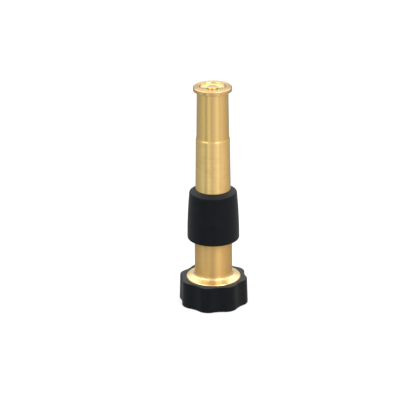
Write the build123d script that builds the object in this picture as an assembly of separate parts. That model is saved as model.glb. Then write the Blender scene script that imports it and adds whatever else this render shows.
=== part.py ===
from build123d import *
from math import cos, degrees, pi, radians, sin, sqrt, tan
import os

# Brass twist nozzle for a garden hose. It stands on its hose end, with the outlet up and Z along its axis.
# Sizes are in mm. It is modelled shut, with the barrel screwed fully down.
# Radii are built up from the spindle's bore outwards, and heights from the hose end upwards.

# hose thread, 3/4-11.5 NH female
HOSE_PITCH = 25.4 / 11.5
HOSE_MAJOR_R = 13.62
HOSE_MINOR_R = 12.19
HOSE_CREST = 0.28
HOSE_FLANK = 30.0
HOSE_MOUTH_GAP = 0.20
HOSE_LEAD_IN = 1.6

# washer at the bottom of the hose thread
WASHER_THICK = 3.0
WASHER_HOLE_R = 8.0
WASHER_GRIP = 0.70
WASHER_SLACK = 0.05

# brass hose end and neck
COUPLING_WALL = 1.60
FLANGE_PROUD = 0.35
FLANGE_CHAMFER = 0.3
FLANGE_RISE = 1.2
FLANGE_WEB = 2.0
NECK_LENGTH = 22.85
NECK_STEP = 1.25
NECK_FILLET = 1.4
STEM_WALL = 3.0

# lobed rubber cover of the hose end
COVER_HEIGHT = 14.85
COVER_WALL = 2.90
COVER_LOBES = 8
COVER_LOBE_HEIGHT = 1.5
COVER_LOBE_ARC = 7.0
COVER_EDGE = 0.5
COVER_DRAFT = 1.5
COVER_LIP = 0.8
COVER_LIP_GAP = 0.5

# spindle, hollow up to its ports
SPINDLE_BORE_R = 2.8
SPINDLE_WALL = 1.5
SPINDLE_FOOT = 4.0
SPINDLE_FOOT_WALL = 1.1
SPINDLE_COLLAR = 1.5
SPINDLE_COLLAR_WALL = 1.2
PORT_R = 1.5
PORTS = 4
PORT_RISE = 5.0
PORT_SPACING = 6.0

# stem nose, its O-ring and the bore it runs in
NOSE_WALL = 2.52
NOSE_STEP = 1.33
FOOT_SEAT = 1.0
SEAL_SECTION = 1.78
SEAL_GAP = 0.05
RUNNING_GAP = 0.08
GROOVE_SLACK = 0.31
GROOVE_LAND = 1.0
SEAL_ENTRY = 2.0

# screw between the stem and the barrel
LEAD = 6.35
STARTS = 2
TURNS_TO_OPEN = 1.5
SCREW_ENGAGED = 6.645
SCREW_CREST = 1.05
SCREW_FLANK = 15.0
SCREW_HEIGHT = 1.2
SCREW_ROOT_GAP = 0.30
RIDGE_ROOT = 0.25
END_GAP = 0.15

# flat snap ring in the skirt's mouth
RING_THICK = 1.2
RING_WALL = 1.95
RING_SHAFT_GAP = 0.40
RING_SLACK = 0.05
RING_GAP_ANGLE = 30.0
STOP_GAP = 0.4

# barrel skirt, under the grip
SKIRT_GAP = 0.30
SKIRT_WALL = 1.7
SKIRT_CHAMFER = 0.4
SKIRT_MOUTH = 3.7
CORE_GAP = 0.5
THREAD_ENTRY = 0.9
THREAD_RELIEF = 1.0
SHUT_GAP = 1.2
SHOULDER_WALL = 2.2

# rubber grip over the skirt
GRIP_FOOT_WALL = 2.04
GRIP_TOP_WALL = 0.75
GRIP_BULGE = 0.33
GRIP_EDGE = 1.0
GRIP_SHOULDER = 1.8
GRIP_RECESS = 0.95
GRIP_OVERHANG = 1.3
GRIP_TUBE_GAP = 0.05

# tapered barrel tube and its outlet rim
LOWER_TUBE = 31.3
UPPER_TUBE = 30.03
TUBE_WALL = 1.89
LOWER_TAPER = 0.47
TUBE_STEP = 0.34
TUBE_STEP_HEIGHT = 1.0
TUBE_STEP_EDGE = 1.0
UPPER_TAPER = 0.39
UPPER_BORE_STEP = 0.7
BORE_RUN_OUT = 2.0
RIM_PROUD = 2.05
RIM_THICK = 2.35
RIM_UNDERCUT = 0.6
RIM_EDGE = 0.3
RIM_CHAMFER = 0.4
RIM_LAND = 3.35

# outlet, and the tip that shuts it
PIN_R = 2.85
PIN_CHAMFER = 0.2
PIN_GAP = 0.35
DISH_DEPTH = 1.1
DISH_WALL = 0.7
DISH_WALL_DRAFT = 0.5
DISH_ROUND = 0.5
THROAT_LENGTH = 5.8
SEAT_SLOPE = tan(radians(30.0))
TIP_DROP = 3.7
TIP_SECTION = 2.0
TIP_SLACK = 0.2
TIP_LOW_COLLAR = 0.8
TIP_HIGH_COLLAR = 0.5
COLLAR_HEIGHT = 1.2
COLLAR_RAMP = 0.8

# radii, from the spindle's bore outwards
spindle_r = SPINDLE_BORE_R + SPINDLE_WALL
foot_r = spindle_r + SPINDLE_FOOT_WALL
collar_r = foot_r + SPINDLE_COLLAR_WALL
nose_waterway_r = foot_r - FOOT_SEAT
nose_r = foot_r + NOSE_WALL
bore_r = nose_r + RUNNING_GAP
seal_r = bore_r - SEAL_GAP - SEAL_SECTION / 2
seal_groove_r = seal_r - SEAL_SECTION / 2
seal_half = SEAL_SECTION / 2 + GROOVE_SLACK
core_r = nose_r + NOSE_STEP
waterway_r = core_r - STEM_WALL
neck_r = core_r + NECK_STEP
stem_crest_r = core_r + SCREW_HEIGHT
skirt_bore_r = neck_r + SKIRT_GAP
skirt_crest_r = core_r + SCREW_ROOT_GAP
skirt_r = skirt_bore_r + SKIRT_WALL
ring_hole_r = core_r + RING_SHAFT_GAP
ring_r = ring_hole_r + RING_WALL
grip_foot_r = skirt_r + GRIP_FOOT_WALL
grip_top_r = skirt_r + GRIP_TOP_WALL
tube_r = bore_r + TUBE_WALL
step_low_r = tube_r - LOWER_TAPER
step_high_r = step_low_r - TUBE_STEP
tube_top_r = step_high_r - UPPER_TAPER
upper_bore_r = bore_r - UPPER_BORE_STEP
rim_r = tube_top_r + RIM_PROUD
dish_wall_r = rim_r - RIM_LAND - DISH_WALL_DRAFT
orifice_r = PIN_R + PIN_GAP
hose_mouth_r = HOSE_MAJOR_R + HOSE_MOUTH_GAP
washer_seat_r = HOSE_MINOR_R + WASHER_GRIP
coupling_r = HOSE_MAJOR_R + COUPLING_WALL
flute_r = coupling_r + COVER_WALL
lobe_r = flute_r + COVER_LOBE_HEIGHT

# heights, from the hose end upwards
travel = LEAD * TURNS_TO_OPEN
body_z = COVER_LIP
thread_z = body_z + HOSE_LEAD_IN
flange_z = COVER_HEIGHT + FLANGE_PROUD
neck_foot_z = flange_z + FLANGE_RISE
washer_top_z = flange_z - FLANGE_WEB
washer_z = washer_top_z - WASHER_THICK
grip_z = flange_z + NECK_LENGTH
skirt_z = grip_z + GRIP_RECESS
core_z = skirt_z + SKIRT_MOUTH
ring_low_z = core_z + CORE_GAP
ring_high_z = ring_low_z + RING_THICK
skirt_thread_z = ring_high_z + THREAD_ENTRY
stem_thread_z = ring_high_z + travel + STOP_GAP
stem_thread_top_z = stem_thread_z + SCREW_ENGAGED
bore_z = stem_thread_top_z + SHUT_GAP
skirt_thread_top_z = bore_z - THREAD_RELIEF
shoulder_z = bore_z + SHOULDER_WALL
grip_top_z = shoulder_z + GRIP_OVERHANG
seal_z = bore_z + travel + SEAL_ENTRY
foot_z = seal_z + seal_half + GROOVE_LAND
nose_top_z = foot_z + SPINDLE_FOOT
collar_z = nose_top_z + SPINDLE_COLLAR
port_z = collar_z + PORT_RISE
bore_top_z = collar_z + BORE_RUN_OUT
step_z = grip_top_z + LOWER_TUBE
rim_z = step_z + UPPER_TUBE
rim_under_z = rim_z - RIM_THICK
dish_wall_z = rim_z - DISH_WALL
dish_z = rim_z - DISH_DEPTH
throat_z = dish_z - THROAT_LENGTH
seat_z = throat_z - (upper_bore_r - orifice_r) / SEAT_SLOPE
tip_z = throat_z - TIP_DROP

# the tip's O-ring lies against the seat's slope when the nozzle is shut
tip_half = TIP_SECTION / 2 + TIP_SLACK
tip_seat_r = orifice_r + TIP_DROP * SEAT_SLOPE
tip_r = tip_seat_r - (TIP_SECTION / 2 + SEAL_GAP) * sqrt(1 + SEAT_SLOPE**2)
tip_groove_r = tip_r - TIP_SECTION / 2
tip_low_r = tip_r + TIP_LOW_COLLAR
tip_high_r = tip_groove_r + TIP_HIGH_COLLAR


def turned(*points, angle=360):
    """A solid turned about Z from a closed half-section of (radius, height) points."""
    outline = Polyline(*[(r, 0, z) for r, z in points], close=True)
    return revolve(make_face(outline), Axis.Z, angle)


def ring_edges(solid, *spots):
    """The circular edges at the given (radius, height) spots."""
    circles = solid.edges().filter_by(GeomType.CIRCLE)
    found = []
    for r, z in spots:
        near = [e for e in circles if abs(e.radius - r) < 0.01 and abs(e.center().Z - z) < 0.01]
        found += near
    return found


def o_ring(centre_r, section, z):
    """An O-ring lying level at height z."""
    return Pos(0, 0, z) * Torus(centre_r, section / 2)


def ridge_half(wall_r, crest_r, crest_width, flank):
    """Half the height of a thread ridge at its foot, which lies RIDGE_ROOT inside the wall it stands on."""
    return crest_width / 2 + (abs(wall_r - crest_r) + RIDGE_ROOT) * tan(radians(flank))


def ridge(lead, z_from, z_to, wall_r, crest_r, crest_width, flank):
    """One helical thread ridge, from a little inside the wall it stands on to its crest."""
    root_r = wall_r + (RIDGE_ROOT if crest_r < wall_r else -RIDGE_ROOT)
    half = crest_width / 2
    base = ridge_half(wall_r, crest_r, crest_width, flank)
    outline = Polyline(
        (root_r, 0, -base),
        (crest_r, 0, -half),
        (crest_r, 0, half),
        (root_r, 0, base),
        close=True,
    )
    path = Helix(pitch=lead, height=z_to - z_from, radius=wall_r)
    return Pos(0, 0, z_from) * sweep(make_face(outline), path=path, is_frenet=True)


# ---- hose end, neck and stem, one piece of brass
coupling_body = turned(
    (hose_mouth_r, body_z),
    (coupling_r, body_z),
    (coupling_r, flange_z),
    (neck_r, neck_foot_z),
    (neck_r, core_z),
    (core_r, core_z),
    (core_r, stem_thread_top_z),
    (nose_r, stem_thread_top_z),
    (nose_r, seal_z - seal_half),
    (seal_groove_r, seal_z - seal_half),
    (seal_groove_r, seal_z + seal_half),
    (nose_r, seal_z + seal_half),
    (nose_r, nose_top_z),
    (foot_r, nose_top_z),
    (foot_r, foot_z),
    (nose_waterway_r, foot_z),
    (nose_waterway_r, stem_thread_top_z),
    (waterway_r, stem_thread_z),
    (waterway_r, washer_top_z),
    (washer_seat_r, washer_top_z),
    (washer_seat_r, washer_z),
    (HOSE_MAJOR_R, washer_z),
    (HOSE_MAJOR_R, thread_z),
    (hose_mouth_r, thread_z),
)
neck_fillet = min(NECK_FILLET, 0.8 * (coupling_r - neck_r - FLANGE_CHAMFER))
coupling_body = fillet(ring_edges(coupling_body, (neck_r, neck_foot_z)), neck_fillet)
coupling_body = chamfer(
    ring_edges(coupling_body, (coupling_r, flange_z), (neck_r, core_z), (nose_r, nose_top_z)),
    FLANGE_CHAMFER,
)

hose_half = ridge_half(HOSE_MAJOR_R, HOSE_MINOR_R, HOSE_CREST, HOSE_FLANK)
coupling_body += ridge(
    HOSE_PITCH,
    thread_z + hose_half + END_GAP,
    washer_z - hose_half - END_GAP,
    HOSE_MAJOR_R,
    HOSE_MINOR_R,
    HOSE_CREST,
    HOSE_FLANK,
)

stem_half = ridge_half(core_r, stem_crest_r, SCREW_CREST, SCREW_FLANK)
stem_ridge_z = stem_thread_z + stem_half + END_GAP
stem_ridge = ridge(
    LEAD,
    stem_ridge_z,
    stem_thread_top_z - stem_half - END_GAP,
    core_r,
    stem_crest_r,
    SCREW_CREST,
    SCREW_FLANK,
)
for start in range(STARTS):
    coupling_body += Rot(0, 0, 360 * start / STARTS) * stem_ridge

# ---- rubber cover of the hose end, with arcs for its lobes and tangent arcs for the flutes between them
lobe_centre_r = lobe_r - COVER_LOBE_ARC
half_lobe = pi / COVER_LOBES
flute_arc = (
    lobe_centre_r**2 + flute_r**2 - 2 * lobe_centre_r * flute_r * cos(half_lobe) - COVER_LOBE_ARC**2
) / (2 * (COVER_LOBE_ARC + lobe_centre_r * cos(half_lobe) - flute_r))
flute_centre_r = flute_r + flute_arc


def polar(r, angle):
    return (r * cos(angle), r * sin(angle))


lobe_outline = []
share = COVER_LOBE_ARC / (COVER_LOBE_ARC + flute_arc)
for lobe in range(COVER_LOBES):
    middle = 2 * half_lobe * lobe
    ends = []
    for side in (-1, 1):
        lobe_centre = Vector(*polar(lobe_centre_r, middle))
        flute_centre = Vector(*polar(flute_centre_r, middle + side * half_lobe))
        ends.append(lobe_centre + (flute_centre - lobe_centre) * share)
    next_start = ends[0].rotate(Axis.Z, degrees(2 * half_lobe))
    lobe_outline.append(ThreePointArc(ends[0], polar(lobe_r, middle), ends[1]))
    lobe_outline.append(ThreePointArc(ends[1], polar(flute_r, middle + half_lobe), next_start))

coupling_cover = extrude(make_face(lobe_outline), COVER_HEIGHT, taper=COVER_DRAFT)
coupling_cover = fillet(coupling_cover.edges().group_by(Axis.Z)[-1], COVER_EDGE)
coupling_cover = fillet(coupling_cover.edges().group_by(Axis.Z)[0], COVER_EDGE)
coupling_cover -= Pos(0, 0, COVER_LIP) * Cylinder(
    coupling_r, COVER_HEIGHT, align=(Align.CENTER, Align.CENTER, Align.MIN)
)
coupling_cover -= Cylinder(hose_mouth_r + COVER_LIP_GAP, COVER_HEIGHT)

# ---- washer at the bottom of the hose thread
hose_washer = turned(
    (WASHER_HOLE_R, washer_z),
    (washer_seat_r - WASHER_SLACK, washer_z),
    (washer_seat_r - WASHER_SLACK, washer_top_z),
    (WASHER_HOLE_R, washer_top_z),
)

# ---- O-rings
stem_oring = o_ring(seal_r, SEAL_SECTION, seal_z)
tip_oring = o_ring(tip_r, TIP_SECTION, tip_z)

# ---- split snap ring, which the stem's thread meets when the barrel is fully open
retaining_ring = turned(
    (ring_hole_r, ring_low_z),
    (ring_r, ring_low_z),
    (ring_r, ring_high_z),
    (ring_hole_r, ring_high_z),
    angle=360 - RING_GAP_ANGLE,
)

# ---- spindle, hollow up to its ports, with the pin that stands in the outlet
port_top_z = port_z + PORT_SPACING
spindle = turned(
    (SPINDLE_BORE_R, foot_z),
    (foot_r, foot_z),
    (foot_r, nose_top_z),
    (collar_r, nose_top_z),
    (collar_r, collar_z),
    (spindle_r, collar_z),
    (spindle_r, tip_z - tip_half - COLLAR_HEIGHT - COLLAR_RAMP),
    (tip_low_r, tip_z - tip_half - COLLAR_HEIGHT),
    (tip_low_r, tip_z - tip_half),
    (tip_groove_r, tip_z - tip_half),
    (tip_groove_r, tip_z + tip_half),
    (tip_high_r, tip_z + tip_half),
    (tip_high_r, tip_z + tip_half + COLLAR_RAMP / 2),
    (PIN_R, tip_z + tip_half + COLLAR_HEIGHT),
    (PIN_R, rim_z - PIN_CHAMFER),
    (PIN_R - PIN_CHAMFER, rim_z),
    (0, rim_z),
    (0, port_top_z + PORT_R + SPINDLE_BORE_R),
    (SPINDLE_BORE_R, port_top_z + PORT_R),
)
port = Cylinder(PORT_R, 3 * spindle_r, rotation=(90, 0, 0))
for k in range(PORTS // 2):
    spindle -= Pos(0, 0, port_z) * Rot(0, 0, 360 * k / PORTS) * port
    spindle -= Pos(0, 0, port_top_z) * Rot(0, 0, 360 * (k + 0.5) / PORTS) * port

# ---- barrel
groove_low_z = ring_low_z - RING_SLACK
groove_high_z = ring_high_z + RING_SLACK
barrel = turned(
    (skirt_bore_r, skirt_z),
    (skirt_r, skirt_z),
    (skirt_r, shoulder_z),
    (tube_r, shoulder_z),
    (tube_r, grip_top_z),
    (step_low_r, step_z),
    (step_high_r, step_z + TUBE_STEP_HEIGHT),
    (tube_top_r, rim_under_z),
    (rim_r, rim_under_z),
    (rim_r, rim_z),
    (rim_r - RIM_LAND, rim_z),
    (dish_wall_r, dish_wall_z),
    (orifice_r, dish_z),
    (orifice_r, throat_z),
    (upper_bore_r, seat_z),
    (upper_bore_r, bore_top_z + UPPER_BORE_STEP),
    (bore_r, bore_top_z),
    (bore_r, bore_z),
    (skirt_bore_r, bore_z),
    (skirt_bore_r, groove_high_z),
    (ring_r + RING_SLACK, groove_high_z),
    (ring_r + RING_SLACK, groove_low_z),
    (skirt_bore_r, groove_low_z),
)
barrel = fillet(ring_edges(barrel, (tube_top_r, rim_under_z)), RIM_UNDERCUT)
step_edges = ring_edges(barrel, (step_low_r, step_z), (step_high_r, step_z + TUBE_STEP_HEIGHT))
barrel = fillet(step_edges, TUBE_STEP_EDGE)
barrel = fillet(ring_edges(barrel, (dish_wall_r, dish_wall_z)), DISH_ROUND)
barrel = fillet(ring_edges(barrel, (rim_r, rim_under_z)), RIM_EDGE)
barrel = chamfer(ring_edges(barrel, (rim_r, rim_z)), RIM_CHAMFER)
skirt_edges = ring_edges(barrel, (skirt_bore_r, skirt_z), (skirt_r, skirt_z), (bore_r, bore_z))
barrel = chamfer(skirt_edges, SKIRT_CHAMFER)

skirt_half = ridge_half(skirt_bore_r, skirt_crest_r, SCREW_CREST, SCREW_FLANK)
skirt_ridge_z = skirt_thread_z + skirt_half + END_GAP
skirt_ridge = ridge(
    LEAD,
    skirt_ridge_z,
    skirt_thread_top_z - skirt_half - END_GAP,
    skirt_bore_r,
    skirt_crest_r,
    SCREW_CREST,
    SCREW_FLANK,
)
screw_pitch = LEAD / STARTS
mesh_angle = 360 * (skirt_ridge_z - stem_ridge_z - screw_pitch / 2) / LEAD
for start in range(STARTS):
    barrel += Rot(0, 0, mesh_angle + 360 * start / STARTS) * skirt_ridge

# ---- rubber grip over the barrel's skirt
grip_middle_r = (grip_foot_r + grip_top_r) / 2 + GRIP_BULGE
grip_middle_z = (grip_z + grip_top_z) / 2
grip_side = ThreePointArc(
    (grip_foot_r, 0, grip_z),
    (grip_middle_r, 0, grip_middle_z),
    (grip_top_r, 0, grip_top_z),
)
grip_inside = Polyline(
    (grip_top_r, 0, grip_top_z),
    (tube_r + GRIP_TUBE_GAP, 0, grip_top_z + GRIP_SHOULDER),
    (tube_r + GRIP_TUBE_GAP, 0, shoulder_z),
    (skirt_r, 0, shoulder_z),
    (skirt_r, 0, grip_z),
    (grip_foot_r, 0, grip_z),
)
barrel_grip = revolve(make_face([grip_side, grip_inside]), Axis.Z)
barrel_grip = fillet(ring_edges(barrel_grip, (grip_foot_r, grip_z)), GRIP_EDGE)
barrel_grip = fillet(ring_edges(barrel_grip, (grip_top_r, grip_top_z)), GRIP_EDGE)

pieces = {
    "coupling_body": coupling_body,
    "coupling_cover": coupling_cover,
    "hose_washer": hose_washer,
    "spindle": spindle,
    "tip_oring": tip_oring,
    "stem_oring": stem_oring,
    "retaining_ring": retaining_ring,
    "barrel": barrel,
    "barrel_grip": barrel_grip,
}

os.makedirs("parts", exist_ok=True)
for name, piece in pieces.items():
    solid = piece if isinstance(piece, Solid) else piece.solids()[0]
    export_step(solid, f"parts/{name}.step")
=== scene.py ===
import math

import bpy
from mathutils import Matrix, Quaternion, Vector


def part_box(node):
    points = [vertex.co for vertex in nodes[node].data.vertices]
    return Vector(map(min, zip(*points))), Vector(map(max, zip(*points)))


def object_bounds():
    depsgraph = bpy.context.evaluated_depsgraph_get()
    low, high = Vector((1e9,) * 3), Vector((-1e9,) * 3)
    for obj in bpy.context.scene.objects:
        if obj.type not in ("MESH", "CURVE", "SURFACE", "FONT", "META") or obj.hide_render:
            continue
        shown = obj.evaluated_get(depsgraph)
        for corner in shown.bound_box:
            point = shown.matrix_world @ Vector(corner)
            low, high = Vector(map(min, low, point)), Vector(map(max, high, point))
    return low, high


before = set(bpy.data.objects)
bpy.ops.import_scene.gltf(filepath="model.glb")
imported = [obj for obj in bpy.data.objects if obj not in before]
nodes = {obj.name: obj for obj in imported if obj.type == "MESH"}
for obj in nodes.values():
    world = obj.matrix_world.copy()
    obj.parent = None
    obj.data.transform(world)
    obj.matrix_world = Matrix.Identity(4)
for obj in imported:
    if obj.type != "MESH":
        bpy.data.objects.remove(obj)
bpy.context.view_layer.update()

scene = bpy.context.scene
scene.view_settings.view_transform = "Standard"

# The camera stands to the right of the part's -Y side, so that a lobe of the cover faces front right.
VIEW_AZIMUTH = math.radians(14.5)
TO_CAMERA = Vector((math.sin(VIEW_AZIMUTH), -math.cos(VIEW_AZIMUTH), 0.0))
TO_RIGHT = Vector((math.cos(VIEW_AZIMUTH), math.sin(VIEW_AZIMUTH), 0.0))

# Millimetres in a metre. The materials work in mm.
MM = 1000

# Places on the turned brass where its colour or finish changes, in mm.
# At the neck's foot the colour change is partly painted reflection.
NECK_FOOT_HEIGHT = 18.2
TUBE_STEP_HEIGHT = 97.5
# Painted shade darkens the inside corner under the rim at this radius.
TUBE_TOP_RADIUS = 8.7
RIM_THICK = 2.35
DISH_RADIUS = 7.3
# Painted shade darkens the inside corner at the dish wall's foot, at this radius and drop.
DISH_FOOT_RADIUS = 6.95
DISH_FOOT_DROP = 0.60

# Half the length over which one colour turns into the other, in mm.
CHANGE_BLEND = 0.7
RIM_BLEND = 0.15

# How deep the fine relief is, in m.
RING_RELIEF = 0.00004
PORE_RELIEF = 0.00003
STEEL_RELIEF = 0.00003
FLOOR_RELIEF = 0.0001

# The floor is a square, this long from its middle to a side in m, and gives off a little light.
FLOOR_HALF = 3.0
FLOOR_GLOW = 0.62

# The lights point at this height on the part's axis, in m.
LIGHT_AIM = 0.06

# The camera looks at a point on this height and this far left of the axis, in m.
CAMERA_TILT = math.radians(21.4)
CAMERA_ROLL = math.radians(-0.45)
CAMERA_DISTANCE = 1.2226
LOOK_HEIGHT = 0.0605
LOOK_LEFT = 0.0073


class Graph:
    """Short calls for building a node tree."""

    def __init__(self, tree):
        self.tree = tree
        tree.nodes.clear()

    def add(self, kind, inputs=None, **settings):
        node = self.tree.nodes.new(kind)
        for key, value in settings.items():
            setattr(node, key, value)
        for key, value in (inputs or {}).items():
            self.put(node.inputs[key], value)
        return node

    def put(self, socket, value):
        if isinstance(value, bpy.types.NodeSocket):
            self.tree.links.new(value, socket)
        else:
            socket.default_value = value

    def math(self, operation, *values):
        node = self.add("ShaderNodeMath", operation=operation)
        for socket, value in zip(node.inputs, values):
            self.put(socket, value)
        return node.outputs[0]

    def vector(self, operation, *values):
        return self.add("ShaderNodeVectorMath", dict(enumerate(values)), operation=operation)

    def bump(self, height, strength, distance):
        inputs = {"Strength": strength, "Distance": distance, "Height": height}
        return self.add("ShaderNodeBump", inputs).outputs[0]

    def noise(self, vector, scale, detail=2.0, roughness=0.5, dimensions="3D"):
        inputs = {"Vector": vector, "Scale": scale, "Detail": detail, "Roughness": roughness}
        return self.add("ShaderNodeTexNoise", inputs, noise_dimensions=dimensions).outputs[0]

    def span(self, value, low, high, to_low=0.0, to_high=1.0):
        node = self.add("ShaderNodeMapRange", interpolation_type="SMOOTHSTEP")
        for key, item in zip((0, 1, 2, 3, 4), (value, low, high, to_low, to_high)):
            self.put(node.inputs[key], item)
        return node.outputs[0]

    def mix(self, factor, first, second):
        node = self.add("ShaderNodeMix", data_type="RGBA", blend_type="MIX")
        self.put(node.inputs[0], factor)
        self.put(node.inputs[6], first)
        self.put(node.inputs[7], second)
        return node.outputs[2]

    def ramp(self, value, stops):
        node = self.add("ShaderNodeValToRGB", {"Fac": value})
        node.color_ramp.interpolation = "LINEAR"
        marks = node.color_ramp.elements
        while len(marks) < len(stops):
            marks.new(0.5)
        for mark, (place, colour) in zip(marks, stops):
            mark.position = place
            mark.color = colour
        return node.outputs[0]


def new_material(name):
    material = bpy.data.materials.new(name)
    material.use_nodes = True
    return material, Graph(material.node_tree)


def shade(g, sockets):
    """The one shader of a material, with the given sockets set or linked."""
    shader = g.add("ShaderNodeBsdfPrincipled", sockets)
    g.add("ShaderNodeOutputMaterial", {"Surface": shader.outputs[0]})


def share_of(colour, share):
    """The colour made lighter or darker by a share, and opaque."""
    return tuple(c * share for c in colour[:3]) + (1.0,)


def lathe_coordinates(g):
    """Object position in mm, and (radius, height) in mm, which is the same all round a turned surface."""
    place = g.add("ShaderNodeTexCoord").outputs["Object"]
    mm = g.vector("MULTIPLY", place, (MM, MM, MM)).outputs[0]
    flat = g.vector("MULTIPLY", mm, (1, 1, 0)).outputs[0]
    radius = g.vector("LENGTH", flat).outputs["Value"]
    height = g.add("ShaderNodeSeparateXYZ", {0: mm}).outputs["Z"]
    turned = g.add("ShaderNodeCombineXYZ", {0: radius, 1: height, 2: 0.0}).outputs[0]
    return mm, turned


def facing_up(g):
    """1 on a face that looks straight up, 0 on an upright one."""
    normal = g.add("ShaderNodeNewGeometry").outputs["Normal"]
    return g.add("ShaderNodeSeparateXYZ", {0: normal}).outputs["Z"]


def brass(
    name,
    colour,
    stain,
    roughness,
    groove=0.10,
    anisotropy=0.75,
    change=None,
    face=None,
    rim=None,
    corners=(),
):
    """Turned brass: fine rings left by the tool, faint stains and handling marks.

    change is a height in mm, and the colour and added roughness above it.
    face is the colour of the faces that look up: painted light and shade for how the overhead light falls
    on them.
    rim is a radius, a height and the colour outside and above them.
    Each of the corners is a radius, a height and how far its painted shade reaches: the corner is
    darkened as if shade falls in it.
    """
    material, g = new_material(name)
    mm, turned = lathe_coordinates(g)
    radius, level, _ = g.add("ShaderNodeSeparateXYZ", {0: turned}).outputs
    fine = g.noise(turned, 9.0, detail=3.0, roughness=0.65, dimensions="2D")
    broad = g.noise(turned, 0.9, detail=2.0, dimensions="2D")
    stains = g.noise(mm, 0.16, detail=4.0, roughness=0.6)
    speckle = g.noise(mm, 2.6, detail=3.0, roughness=0.7)
    stained = g.math("ADD", g.math("MULTIPLY", stains, 0.75), g.math("MULTIPLY", broad, 0.25))
    base = g.mix(g.math("MULTIPLY", g.span(stained, 0.42, 0.66), 0.75), colour, stain)
    if change:
        change_height, other, rougher = change
        low_edge = change_height - CHANGE_BLEND
        high_edge = change_height + CHANGE_BLEND
        base = g.mix(g.span(level, low_edge, high_edge, 0.0, 0.9), base, other)
    # Painted light: the faces that look up get their own tone, for how the overhead light falls on them.
    if face:
        base = g.mix(g.span(facing_up(g), 0.6, 0.95), base, face)
    if rim:
        rim_radius, rim_height, other = rim
        outside = g.span(radius, rim_radius - RIM_BLEND, rim_radius + RIM_BLEND)
        above = g.span(level, rim_height - RIM_BLEND, rim_height + RIM_BLEND)
        base = g.mix(g.math("MULTIPLY", outside, above), base, other)
    # Painted shade: each inside corner is darkened towards a dark stain colour, as if shade falls in it.
    for corner_radius, corner_height, reach in corners:
        distance = g.vector("DISTANCE", turned, (corner_radius, corner_height, 0)).outputs["Value"]
        base = g.mix(g.span(distance, reach * 0.2, reach, 0.55, 0.0), base, share_of(stain, 0.30))
    dark = share_of(colour, 0.80)
    base = g.mix(g.math("MULTIPLY", g.span(fine, 0.52, 0.72), 0.35), base, dark)
    base = g.mix(g.math("MULTIPLY", g.span(speckle, 0.60, 0.80), 0.25), base, dark)
    rough = g.math("ADD", roughness - 0.05, g.math("MULTIPLY", g.span(fine, 0.25, 0.75), 0.10))
    rough = g.math("ADD", rough, g.math("MULTIPLY", g.span(speckle, 0.5, 0.8), 0.08))
    if change:
        rough = g.math("ADD", rough, g.span(level, low_edge, high_edge, 0.0, rougher))
    height = g.math("ADD", g.math("MULTIPLY", fine, 0.6), g.math("MULTIPLY", broad, 0.4))
    sockets = {
        "Base Color": base,
        "Metallic": 1.0,
        "Roughness": rough,
        "Normal": g.bump(height, groove, RING_RELIEF),
        "Tangent": g.add("ShaderNodeTangent", direction_type="RADIAL", axis="Z").outputs[0],
        "Anisotropic": anisotropy,
        "Anisotropic Rotation": 0.25,
    }
    shade(g, sockets)
    return material


def rubber(name, colour, dust, roughness, grain=3.2, top_dust_and_sheen=0.0):
    """Moulded rubber: a fine matt grain, smoother handled patches and dust.

    grain is the scale of its pores, and the last argument is how much the faces that look up are
    lightened: partly dust, partly painted sheen of the overhead light.
    """
    material, g = new_material(name)
    mm, _ = lathe_coordinates(g)
    pores = g.noise(mm, grain, detail=3.0, roughness=0.7)
    waves = g.noise(mm, 0.22, detail=3.0, roughness=0.55)
    specks = g.noise(mm, 1.3, detail=5.0, roughness=0.75)
    base = g.mix(g.span(waves, 0.35, 0.75, 0.0, 0.55), colour, dust)
    base = g.mix(g.span(specks, 0.64, 0.82, 0.0, 0.5), base, share_of(dust, 2.2))
    # Partly dust, partly painted sheen: the faces that look up are lightened.
    base = g.mix(g.span(facing_up(g), 0.6, 0.98, 0.0, top_dust_and_sheen), base, (0.060, 0.058, 0.056, 1))
    rough = g.math("ADD", roughness - 0.06, g.math("MULTIPLY", waves, 0.16))
    rough = g.math("SUBTRACT", rough, g.math("MULTIPLY", g.span(specks, 0.3, 0.5, 1.0, 0.0), 0.05))
    height = g.math("ADD", pores, g.math("MULTIPLY", waves, 0.8))
    sockets = {
        "Base Color": base,
        "Roughness": rough,
        "Normal": g.bump(height, 0.45, PORE_RELIEF),
        "Specular IOR Level": 0.145,
        "Specular Tint": (0.84, 0.93, 1.0, 1),
        "Sheen Weight": 0.05,
        "Sheen Roughness": 0.4,
    }
    shade(g, sockets)
    return material


def spring_steel(name):
    """Bright spring steel with fine lines and a few dull marks."""
    material, g = new_material(name)
    mm, turned = lathe_coordinates(g)
    lines = g.noise(turned, 7.0, detail=3.0, dimensions="2D")
    marks = g.noise(mm, 1.1, detail=4.0, roughness=0.7)
    base = g.mix(g.span(marks, 0.4, 0.7), (0.56, 0.56, 0.57, 1), (0.42, 0.41, 0.40, 1))
    rough = g.math("ADD", 0.24, g.math("MULTIPLY", lines, 0.18))
    bump = g.bump(lines, 0.1, STEEL_RELIEF)
    shade(g, {"Base Color": base, "Metallic": 1.0, "Roughness": rough, "Normal": bump})
    return material


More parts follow.
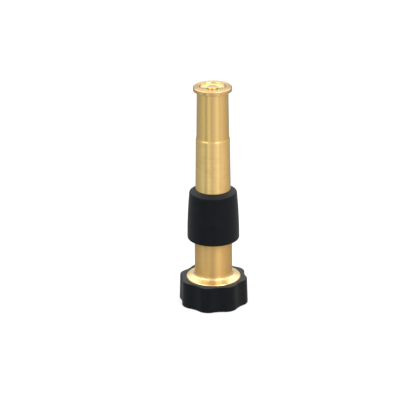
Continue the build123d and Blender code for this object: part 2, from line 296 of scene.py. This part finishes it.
rim_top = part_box("barrel")[1].z * MM
rim_under = rim_top - RIM_THICK
barrel_brass = brass(
    "barrel_brass",
    (0.90, 0.63, 0.27, 1),
    (0.83, 0.55, 0.21, 1),
    roughness=0.25,
    anisotropy=0.82,
    change=(TUBE_STEP_HEIGHT, (0.80, 0.545, 0.22, 1), 0.0),
    # Painted highlight: the faces that look up, the dish and the land, are tinted yellower.
    face=(0.86, 0.665, 0.265, 1),
    rim=(DISH_RADIUS, rim_under, (0.72, 0.475, 0.226, 1)),
    # Painted shade in the corner under the rim and at the foot of the dish wall.
    corners=[(TUBE_TOP_RADIUS, rim_under, 0.85), (DISH_FOOT_RADIUS, rim_top - DISH_FOOT_DROP, 0.85)],
)
stem_brass = brass(
    "stem_brass",
    (0.85, 0.64, 0.33, 1),
    (0.78, 0.57, 0.28, 1),
    roughness=0.33,
    groove=0.14,
    anisotropy=0.82,
    # Paler flange below the neck's foot and more orange neck above it: partly the brass's own tone,
    # partly painted highlight on the flange and painted reflection of the neck in it.
    change=(NECK_FOOT_HEIGHT, (0.70, 0.435, 0.155, 1), 0.10),
)
pin_bronze = brass(
    "pin_bronze",
    (0.74, 0.57, 0.28, 1),
    (0.66, 0.49, 0.24, 1),
    roughness=0.32,
    anisotropy=0.3,
    # Painted shade: the pin's top is tinted darker and pinker.
    face=(0.62, 0.43, 0.29, 1),
)
rubber_black = (0.0020, 0.0026, 0.0040, 1)
rubber_dust = (0.0048, 0.0051, 0.0062, 1)
grip_rubber = rubber("grip_rubber", rubber_black, rubber_dust, roughness=0.44, top_dust_and_sheen=0.12)
cover_rubber = rubber("cover_rubber", rubber_black, rubber_dust, roughness=0.44, top_dust_and_sheen=0.30)
seal_rubber = rubber("seal_rubber", (0.007, 0.007, 0.007, 1), (0.014, 0.013, 0.013, 1), 0.52, grain=2.4)
ring_steel = spring_steel("ring_steel")

material_of = {
    "barrel": barrel_brass,
    "coupling_body": stem_brass,
    "spindle": pin_bronze,
    "barrel_grip": grip_rubber,
    "coupling_cover": cover_rubber,
    "hose_washer": seal_rubber,
    "tip_oring": seal_rubber,
    "stem_oring": seal_rubber,
    "retaining_ring": ring_steel,
}
for node, material in material_of.items():
    mesh = nodes[node].data
    mesh.materials.clear()
    mesh.materials.append(material)

# ---- floor
floor_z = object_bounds()[0].z
floor_mesh = bpy.data.meshes.new("floor")
corners = [
    (-FLOOR_HALF, -FLOOR_HALF, floor_z),
    (FLOOR_HALF, -FLOOR_HALF, floor_z),
    (FLOOR_HALF, FLOOR_HALF, floor_z),
    (-FLOOR_HALF, FLOOR_HALF, floor_z),
]
floor_mesh.from_pydata(corners, [], [(0, 1, 2, 3)])
floor = bpy.data.objects.new("floor", floor_mesh)
scene.collection.objects.link(floor)
floor_material, g = new_material("pale_floor")
place = g.add("ShaderNodeTexCoord").outputs["Object"]
mottle = g.noise(place, 9.0, detail=4.0, roughness=0.6)
grain = g.noise(place, 900.0, detail=3.0, roughness=0.7)
floor_sockets = {
    "Base Color": g.mix(mottle, (0.290, 0.290, 0.288, 1), (0.312, 0.312, 0.312, 1)),
    "Roughness": g.span(grain, 0.2, 0.8, 0.84, 0.96),
    "Normal": g.bump(grain, 0.1, FLOOR_RELIEF),
    "Emission Color": (1, 1, 1, 1),
    "Emission Strength": FLOOR_GLOW,
}
shade(g, floor_sockets)
floor_mesh.materials.append(floor_material)
floor.visible_glossy = False

# ---- studio light: a dim room with soft panels round the part, brightest at the front right
world = bpy.data.worlds.new("studio")
scene.world = world
world.use_nodes = True
g = Graph(world.node_tree)
direction = g.add("ShaderNodeTexCoord").outputs["Generated"]
right = g.vector("DOT_PRODUCT", direction, TO_RIGHT).outputs["Value"]
front = g.vector("DOT_PRODUCT", direction, TO_CAMERA).outputs["Value"]
up = g.add("ShaderNodeSeparateXYZ", {0: direction}).outputs["Z"]
turn = g.math("ADD", g.math("DIVIDE", g.math("ARCTAN2", right, front), 2 * math.pi), 0.5)


def panel(degrees_right, red, green, blue):
    """A stop of the ramp, at a direction measured from the camera's side of the part to the right."""
    return (degrees_right / 360 + 0.5, (red, green, blue, 1))


panels = g.ramp(
    turn,
    [
        panel(-180, 0.34, 0.36, 0.38),
        panel(-130, 0.44, 0.46, 0.46),
        panel(-95, 0.54, 0.56, 0.50),
        panel(-66, 0.68, 0.76, 0.72),
        panel(-47, 0.42, 0.42, 0.36),
        panel(-29, 0.96, 0.98, 0.94),
        panel(-8, 0.64, 0.64, 0.60),
        panel(14, 0.84, 0.83, 0.80),
        panel(35, 1.08, 1.06, 1.00),
        panel(49, 0.76, 0.76, 0.68),
        panel(62, 0.90, 0.86, 0.84),
        panel(88, 0.76, 0.70, 0.58),
        panel(112, 0.60, 0.58, 0.50),
        panel(140, 0.46, 0.46, 0.50),
        panel(180, 0.34, 0.36, 0.38),
    ],
)
# From 13 to 31 degrees above the horizon the panels fade into a white ceiling, dimmer at the front.
overhead = g.mix(g.span(front, -0.5, 0.6), (2.1, 2.1, 2.06, 1), (1.15, 1.15, 1.13, 1))
sky = g.mix(g.span(up, 0.22, 0.52), panels, overhead)
background = g.add("ShaderNodeBackground", {"Color": sky, "Strength": 1.0})
g.add("ShaderNodeOutputWorld", {"Surface": background.outputs[0]})


def soft_light(name, place, size, power, colour=(1, 1, 1)):
    data = bpy.data.lights.new(name, "AREA")
    data.shape = "RECTANGLE"
    data.size, data.size_y = size
    data.energy = power
    data.color = colour
    light = bpy.data.objects.new(name, data)
    scene.collection.objects.link(light)
    light.location = place
    aim = Vector((0, 0, LIGHT_AIM)) - Vector(place)
    light.rotation_euler = aim.to_track_quat("-Z", "Y").to_euler()


def around(right_m, front_m, up_m):
    """A place in m to the right of the part, towards the camera and above the floor."""
    return TO_RIGHT * right_m + TO_CAMERA * front_m + Vector((0, 0, up_m))


soft_light("key", around(0.45, 0.55, 0.75), (0.5, 0.5), 4.0)
soft_light("fill", around(-0.6, 0.4, 0.6), (0.6, 0.6), 2.0, (0.95, 1.0, 1.0))

# ---- camera at the photograph's angle
camera_data = bpy.data.cameras.new("camera")
camera_data.lens = 198.0
camera_data.sensor_width = 36.0
camera = bpy.data.objects.new("camera", camera_data)
scene.collection.objects.link(camera)
away = TO_CAMERA * math.cos(CAMERA_TILT) + Vector((0, 0, math.sin(CAMERA_TILT)))
camera.location = Vector((0, 0, LOOK_HEIGHT)) + away * CAMERA_DISTANCE - TO_RIGHT * LOOK_LEFT
camera.rotation_mode = "QUATERNION"
roll = Quaternion((0, 0, 1), CAMERA_ROLL)
camera.rotation_quaternion = (-away).to_track_quat("-Z", "Y") @ roll
camera_data.clip_start = 0.05
camera_data.clip_end = 20.0
scene.camera = camera
